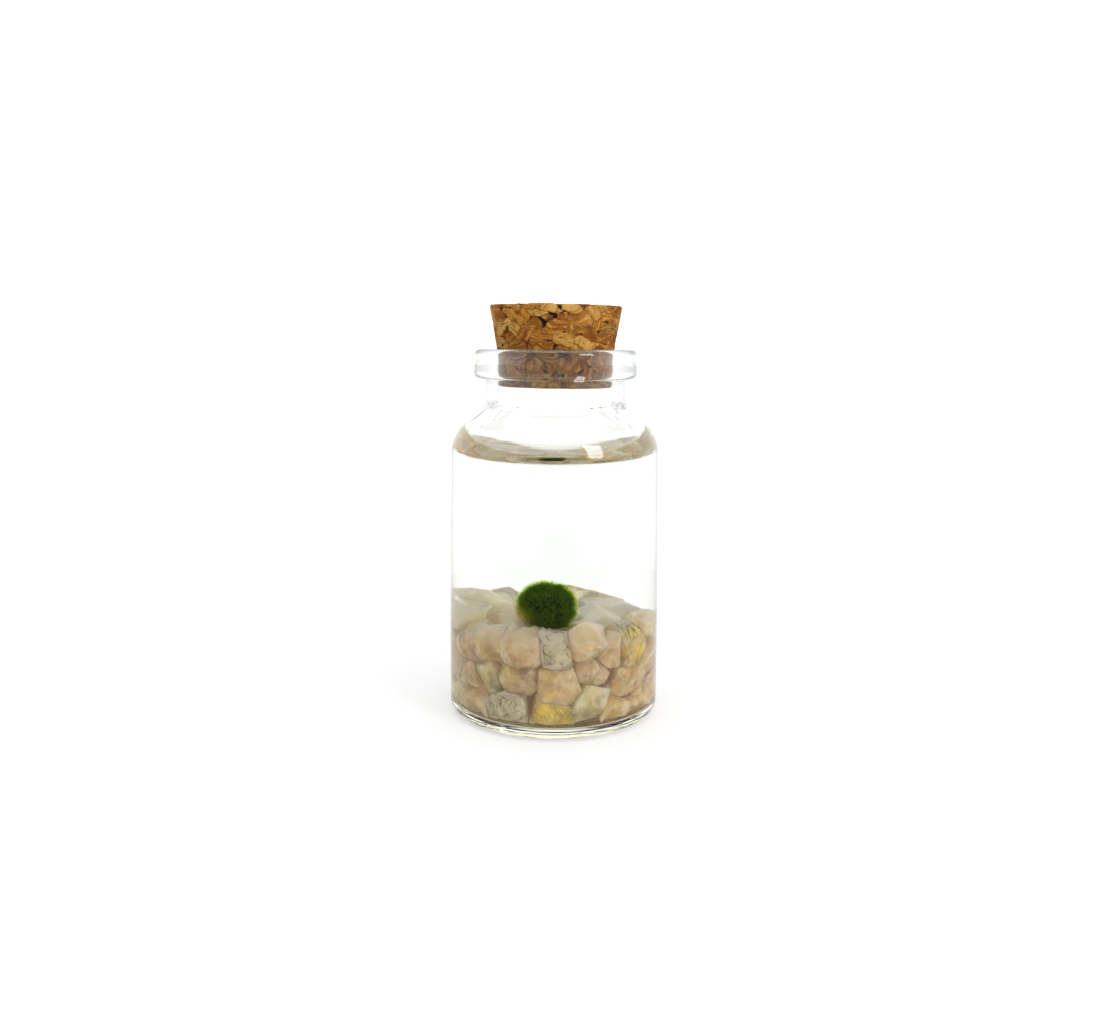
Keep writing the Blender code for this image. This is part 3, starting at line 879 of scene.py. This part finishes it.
def chip_radii(directions, hull, cell, breaks):
    """How far the chip reaches each way: its solid's form, grown to meet its near neighbours."""
    centre, _, normals, reach = hull
    solid = soft_reach(directions, normals, reach + CHIP_SWELL)
    room = soft_reach(directions, cell[0], cell[1] - cell[0] @ centre + CHIP_BITE)
    gap = np.maximum(room - solid, 0)
    radii = np.minimum(solid, room) + gap * np.clip((FILL_REACH - gap) / FILL_SOFT, 0, 1)
    ball, ball_radius = moss_frame()
    across = (ball - centre) / np.linalg.norm(ball - centre)
    limits = (np.array([across, [0.0, 0.0, -1.0]]), np.array([ball @ across - ball_radius, -FLOOR]))
    radii = np.minimum(radii, soft_reach(directions, limits[0], limits[1] - limits[0] @ centre))
    radii = np.minimum(radii, soft_reach(directions, *breaks))
    if centre[2] > SHOWN_HEIGHT:
        radii = np.minimum(radii, TOP_ROUND * np.median(radii))
    return np.minimum(radii, reach_to_glass(centre, directions))


def edge_share(points, faces):
    """How sharply the surface turns at each point, from 0 on the flat to 1 on an edge."""
    corners = points[faces]
    normals = np.cross(corners[:, 1] - corners[:, 0], corners[:, 2] - corners[:, 0])
    normals /= np.linalg.norm(normals, axis=1, keepdims=True)
    total = np.zeros_like(points)
    count = np.zeros(len(points))
    for corner in range(3):
        np.add.at(total, faces[:, corner], normals)
        np.add.at(count, faces[:, corner], 1)
    turn = 1 - np.linalg.norm(total, axis=1) / count
    return np.clip(turn / EDGE_TURN - 0.5, 0, 1)


def chip_dents(points):
    """Shallow shell-like hollows, as a share of the chip's reach."""
    dents = [max(0.0, noise.noise(Vector(point) / DENT_SIZE)) for point in points]
    return DENT_DEPTH * np.array(dents)


def build_chip(node, hull, cell, grid, material, rng):
    directions, faces = grid
    tone = rng.random()
    radii = chip_radii(directions, hull, cell, fresh_breaks(hull, rng))
    radii *= 1 - chip_dents(hull[0] + directions * radii[:, None])
    points = hull[0] + directions * radii[:, None]
    mesh = bpy.data.meshes.new(node.name + "_chip")
    mesh.from_pydata(points.tolist(), [], faces)
    mesh.shade_smooth()
    numbers(mesh, "tone", np.full(len(directions), tone))
    numbers(mesh, "edge", edge_share(points, np.array(faces)))
    slot = node.name.rsplit("_", 1)[0]
    return add_piece(node.name + "_chip", mesh, [material], [node.name], slot)


def build_chips():
    rng = random.Random(SEED + 1)
    fine = even_directions(FINE_POINTS)
    plain = even_directions(PLAIN_POINTS)
    grids = {True: (fine, sphere_faces(fine)), False: (plain, sphere_faces(plain))}
    materials = {kind: quartz_material(kind, *look) for kind, look in QUARTZ_LOOKS.items()}
    nodes = [node for name, node in sorted(NODES.items()) if name.split("_")[0] in materials]
    hulls = [hull_of(node) for node in nodes]
    chips = []
    for node, hull, cell in zip(nodes, hulls, cells_of(hulls)):
        shown = math.hypot(hull[0][0], hull[0][1]) > SHOWN_REACH or hull[0][2] > SHOWN_HEIGHT
        chips.append(build_chip(node, hull, cell, grids[shown], materials[node.name.split("_")[0]], rng))
    return chips


# ---- Needles in the rutile and tourmaline chips ----
def needle_material(name, colour, metallic, roughness):
    shader = Shader(name)
    streaks = shader.noise(1.5, 3.0)
    darker = tuple(0.55 * value for value in colour[:3]) + (1.0,)
    shader.set(Base_Color=shader.mix(streaks, darker, colour), Metallic=metallic, Roughness=roughness)
    return shader.material


def needle_runs(chip, count, lean, spread, lowest, rng):
    """Lines along the side of a chip that shows, each as its two ends.

    Each starts, both ways, from a point no lower than the share lowest of the chip's height.
    """
    points = points_of(chip.data)
    tree = BVHTree.FromPolygons(points.tolist(), [face.vertices[:] for face in chip.data.polygons])
    normals = np.array([vert.normal for vert in chip.data.vertices])
    shown = shown_way(points.mean(axis=0))
    height = (points[:, 2] - points[:, 2].min()) / np.ptp(points[:, 2])
    squarely = normals @ shown > NEEDLE_FACING * np.linalg.norm(shown)
    facing = np.flatnonzero(squarely & (height >= lowest))
    for _ in range(count):
        index = facing[rng.randrange(len(facing))]
        normal = Vector(normals[index])
        start = Vector(points[index]) - normal * NEEDLE_DEPTH
        way = Vector(lean) + Vector([rng.gauss(0, spread) for _ in range(3)])
        way = (way - way.dot(normal) * normal * NEEDLE_FLATNESS).normalized()
        lift = normal * rng.uniform(*NEEDLE_LIFT)
        ends = []
        for sense in (way, -way):
            room = tree.ray_cast(start, sense)[3] or 0.0
            ends.append(start + lift + sense * min(room, NEEDLE_LENGTH / 2) * rng.uniform(*NEEDLE_FILL))
        if (ends[0] - ends[1]).length > NEEDLE_LENGTH / 10:
            yield ends


def build_needles(name, inside, chips, count, spread, widths, lowest, material, slot):
    """Thin spindles with three sides, joined into one mesh for all the chips whose name fits."""
    rng = random.Random(SEED + 2)
    verts, faces = [], []
    for chip in chips:
        if not chip.name.startswith(inside):
            continue
        lean = [rng.gauss(0, 0.3), rng.gauss(0, 0.3), 1.0]
        for first, last in needle_runs(chip, count, lean, spread, lowest, rng):
            width = rng.uniform(*widths)
            aside = (last - first).orthogonal().normalized() * width
            offset = len(verts)
            middle = first.lerp(last, rng.uniform(0.3, 0.7))
            turn = Quaternion(last - first, 2 * math.pi / 3)
            verts += [first, last, middle + aside, middle + turn @ aside, middle + turn @ turn @ aside]
            for side in range(3):
                here, after = offset + 2 + side, offset + 2 + (side + 1) % 3
                faces += [(offset, after, here), (offset + 1, here, after)]
    mesh = bpy.data.meshes.new(name)
    mesh.from_pydata([tuple(vert) for vert in verts], [], faces)
    return add_piece(name, mesh, [material], [], slot)


def build_all_needles(chips):
    gold = needle_material("golden_needles", rgb(1.0, 0.80, 0.02), 0.7, 0.35)
    straw = needle_material("straw_needles", rgb(0.92, 0.66, 0.06), 0.5, 0.45)
    black = needle_material("black_needles", rgb(0.03, 0.028, 0.03), 0.0, 0.35)
    for name, inside, count, spread, widths, lowest, material, slot in (
        ("rutile_needles", "rutile_quartz_01", 60, 0.12, (0.04, 0.13), 0.0, gold, "rutile_quartz"),
        ("rutile_flecks", "rutile_quartz_03", 45, 0.25, (0.03, 0.08), 0.0, gold, "rutile_quartz"),
        ("rutile_fibres", "rutile_quartz_02", 170, 0.15, (0.02, 0.06), 0.0, straw, "rutile_quartz"),
        ("rutile_dark_cap", "rutile_quartz_01", 36, 0.8, (0.05, 0.12), 0.74, black, "rutile_quartz"),
        ("tourmaline_needles", "tourmaline", 75, 1.5, (0.03, 0.07), 0.0, black, "tourmaline_quartz"),
    ):
        thick = [width * MM for width in widths]
        build_needles(name, inside, chips, count, spread, thick, lowest, material, slot)


# ---- Studio ----
def add_camera():
    data = bpy.data.cameras.new("camera")
    data.sensor_width = 36.0
    data.lens = FOCAL_PX / IMAGE_W * data.sensor_width
    data.shift_y = SHIFT_Y
    data.clip_start = 0.005
    data.clip_end = 10.0
    camera = bpy.data.objects.new("camera", data)
    bpy.context.scene.collection.objects.link(camera)
    camera.matrix_world = (
        Matrix.Translation(CAMERA_AT)
        @ Matrix.Rotation(math.pi / 2 - PITCH, 4, "X")
        @ Matrix.Rotation(ROLL, 4, "Z")
    )
    bpy.context.scene.camera = camera


def add_world():
    """A bright cove all round, a soft light overhead, and a dark gap between them."""
    world = bpy.data.worlds.new("studio")
    world.use_nodes = True
    bpy.context.scene.world = world
    tree = world.node_tree
    place = tree.nodes.new("ShaderNodeTexCoord")
    parts = tree.nodes.new("ShaderNodeSeparateXYZ")
    ramp = tree.nodes.new("ShaderNodeValToRGB")
    tree.links.new(place.outputs["Generated"], parts.inputs[0])
    tree.links.new(parts.outputs["Z"], ramp.inputs[0])
    stops = ramp.color_ramp.elements
    for height, light in ((GAP_FROM - GAP_BLUR, ROOM_LIGHT), (GAP_FROM, GAP_LIGHT), (GAP_TO, GAP_LIGHT)):
        stops.new(height).color = rgb(light, light, light)
    stops[0].color = rgb(ROOM_LIGHT, ROOM_LIGHT, ROOM_LIGHT)
    stops[-1].position = GAP_TO + GAP_BLUR
    stops[-1].color = rgb(TOP_LIGHT, TOP_LIGHT, TOP_LIGHT)
    tree.links.new(ramp.outputs[0], tree.nodes["Background"].inputs["Color"])


def add_window():
    """A tall soft light to the right of the camera, which the glass mirrors as small bright panes."""
    data = bpy.data.lights.new("window", "AREA")
    data.shape = "RECTANGLE"
    data.size, data.size_y = WINDOW_SIZE
    data.energy = WINDOW_RADIANCE * math.pi * WINDOW_SIZE[0] * WINDOW_SIZE[1]
    light = bpy.data.objects.new("window", data)
    bpy.context.scene.collection.objects.link(light)
    toward = Vector((
        math.sin(WINDOW_AZIMUTH) * math.cos(WINDOW_ELEVATION),
        -math.cos(WINDOW_AZIMUTH) * math.cos(WINDOW_ELEVATION),
        math.sin(WINDOW_ELEVATION),
    ))
    light.location = Vector((0, 0, WATER_LEVEL)) + toward * WINDOW_DISTANCE
    light.rotation_euler = toward.to_track_quat("Z", "Y").to_euler()


def add_flags():
    """Dark cards behind the camera and on the table below it, which only the gloss mirrors."""
    shader = Shader("dark_card")
    shader.set(Base_Color=rgb(0.02, 0.02, 0.02), Roughness=1.0, Specular_IOR_Level=0.0)
    for name, size, place, tilt in (
        ("dark_card", CARD_SIZE, CARD_AT, math.pi / 2),
        ("dark_table_card", TABLE_CARD_SIZE, TABLE_CARD_AT, 0.0),
    ):
        bpy.ops.mesh.primitive_plane_add(size=1.0, location=place, rotation=(tilt, 0, 0))
        card = bpy.context.object
        card.name = name
        card.scale = (*size, 1.0)
        card.data.materials.append(shader.material)
        card.visible_camera = False
        card.visible_diffuse = False
        card.visible_transmission = False
        card.visible_shadow = False


def add_floor():
    bpy.ops.mesh.primitive_plane_add(size=FLOOR_SIZE, location=(0, 0, -FLOOR_DROP))
    floor = bpy.context.object
    floor.name = "studio_floor"
    shader = Shader("pale_floor")
    shader.set(Base_Color=rgb(0.32, 0.32, 0.32), Roughness=0.9, Specular_IOR_Level=0.0)
    shader.set(Emission_Color=rgb(1, 1, 1), Emission_Strength=FLOOR_GLOW)
    floor.data.materials.append(shader.material)


def set_rendering():
    scene = bpy.context.scene
    scene.view_settings.view_transform = "Standard"
    scene.cycles.max_bounces = 40
    scene.cycles.transmission_bounces = 36
    scene.cycles.diffuse_bounces = 8
    scene.cycles.glossy_bounces = 12
    scene.cycles.transparent_max_bounces = 24
    scene.cycles.use_denoising = True


def main():
    noise.seed_set(SEED)     # the noise vectors depend on it, and otherwise differ from run to run
    add_camera()
    add_world()
    add_window()
    add_flags()
    add_floor()
    set_rendering()
    build_vial()
    build_water()
    build_cork()
    centre, radius = moss_frame()
    build_moss_core(centre, radius)
    build_moss_fibres(centre, radius)
    build_all_needles(build_chips())


main()
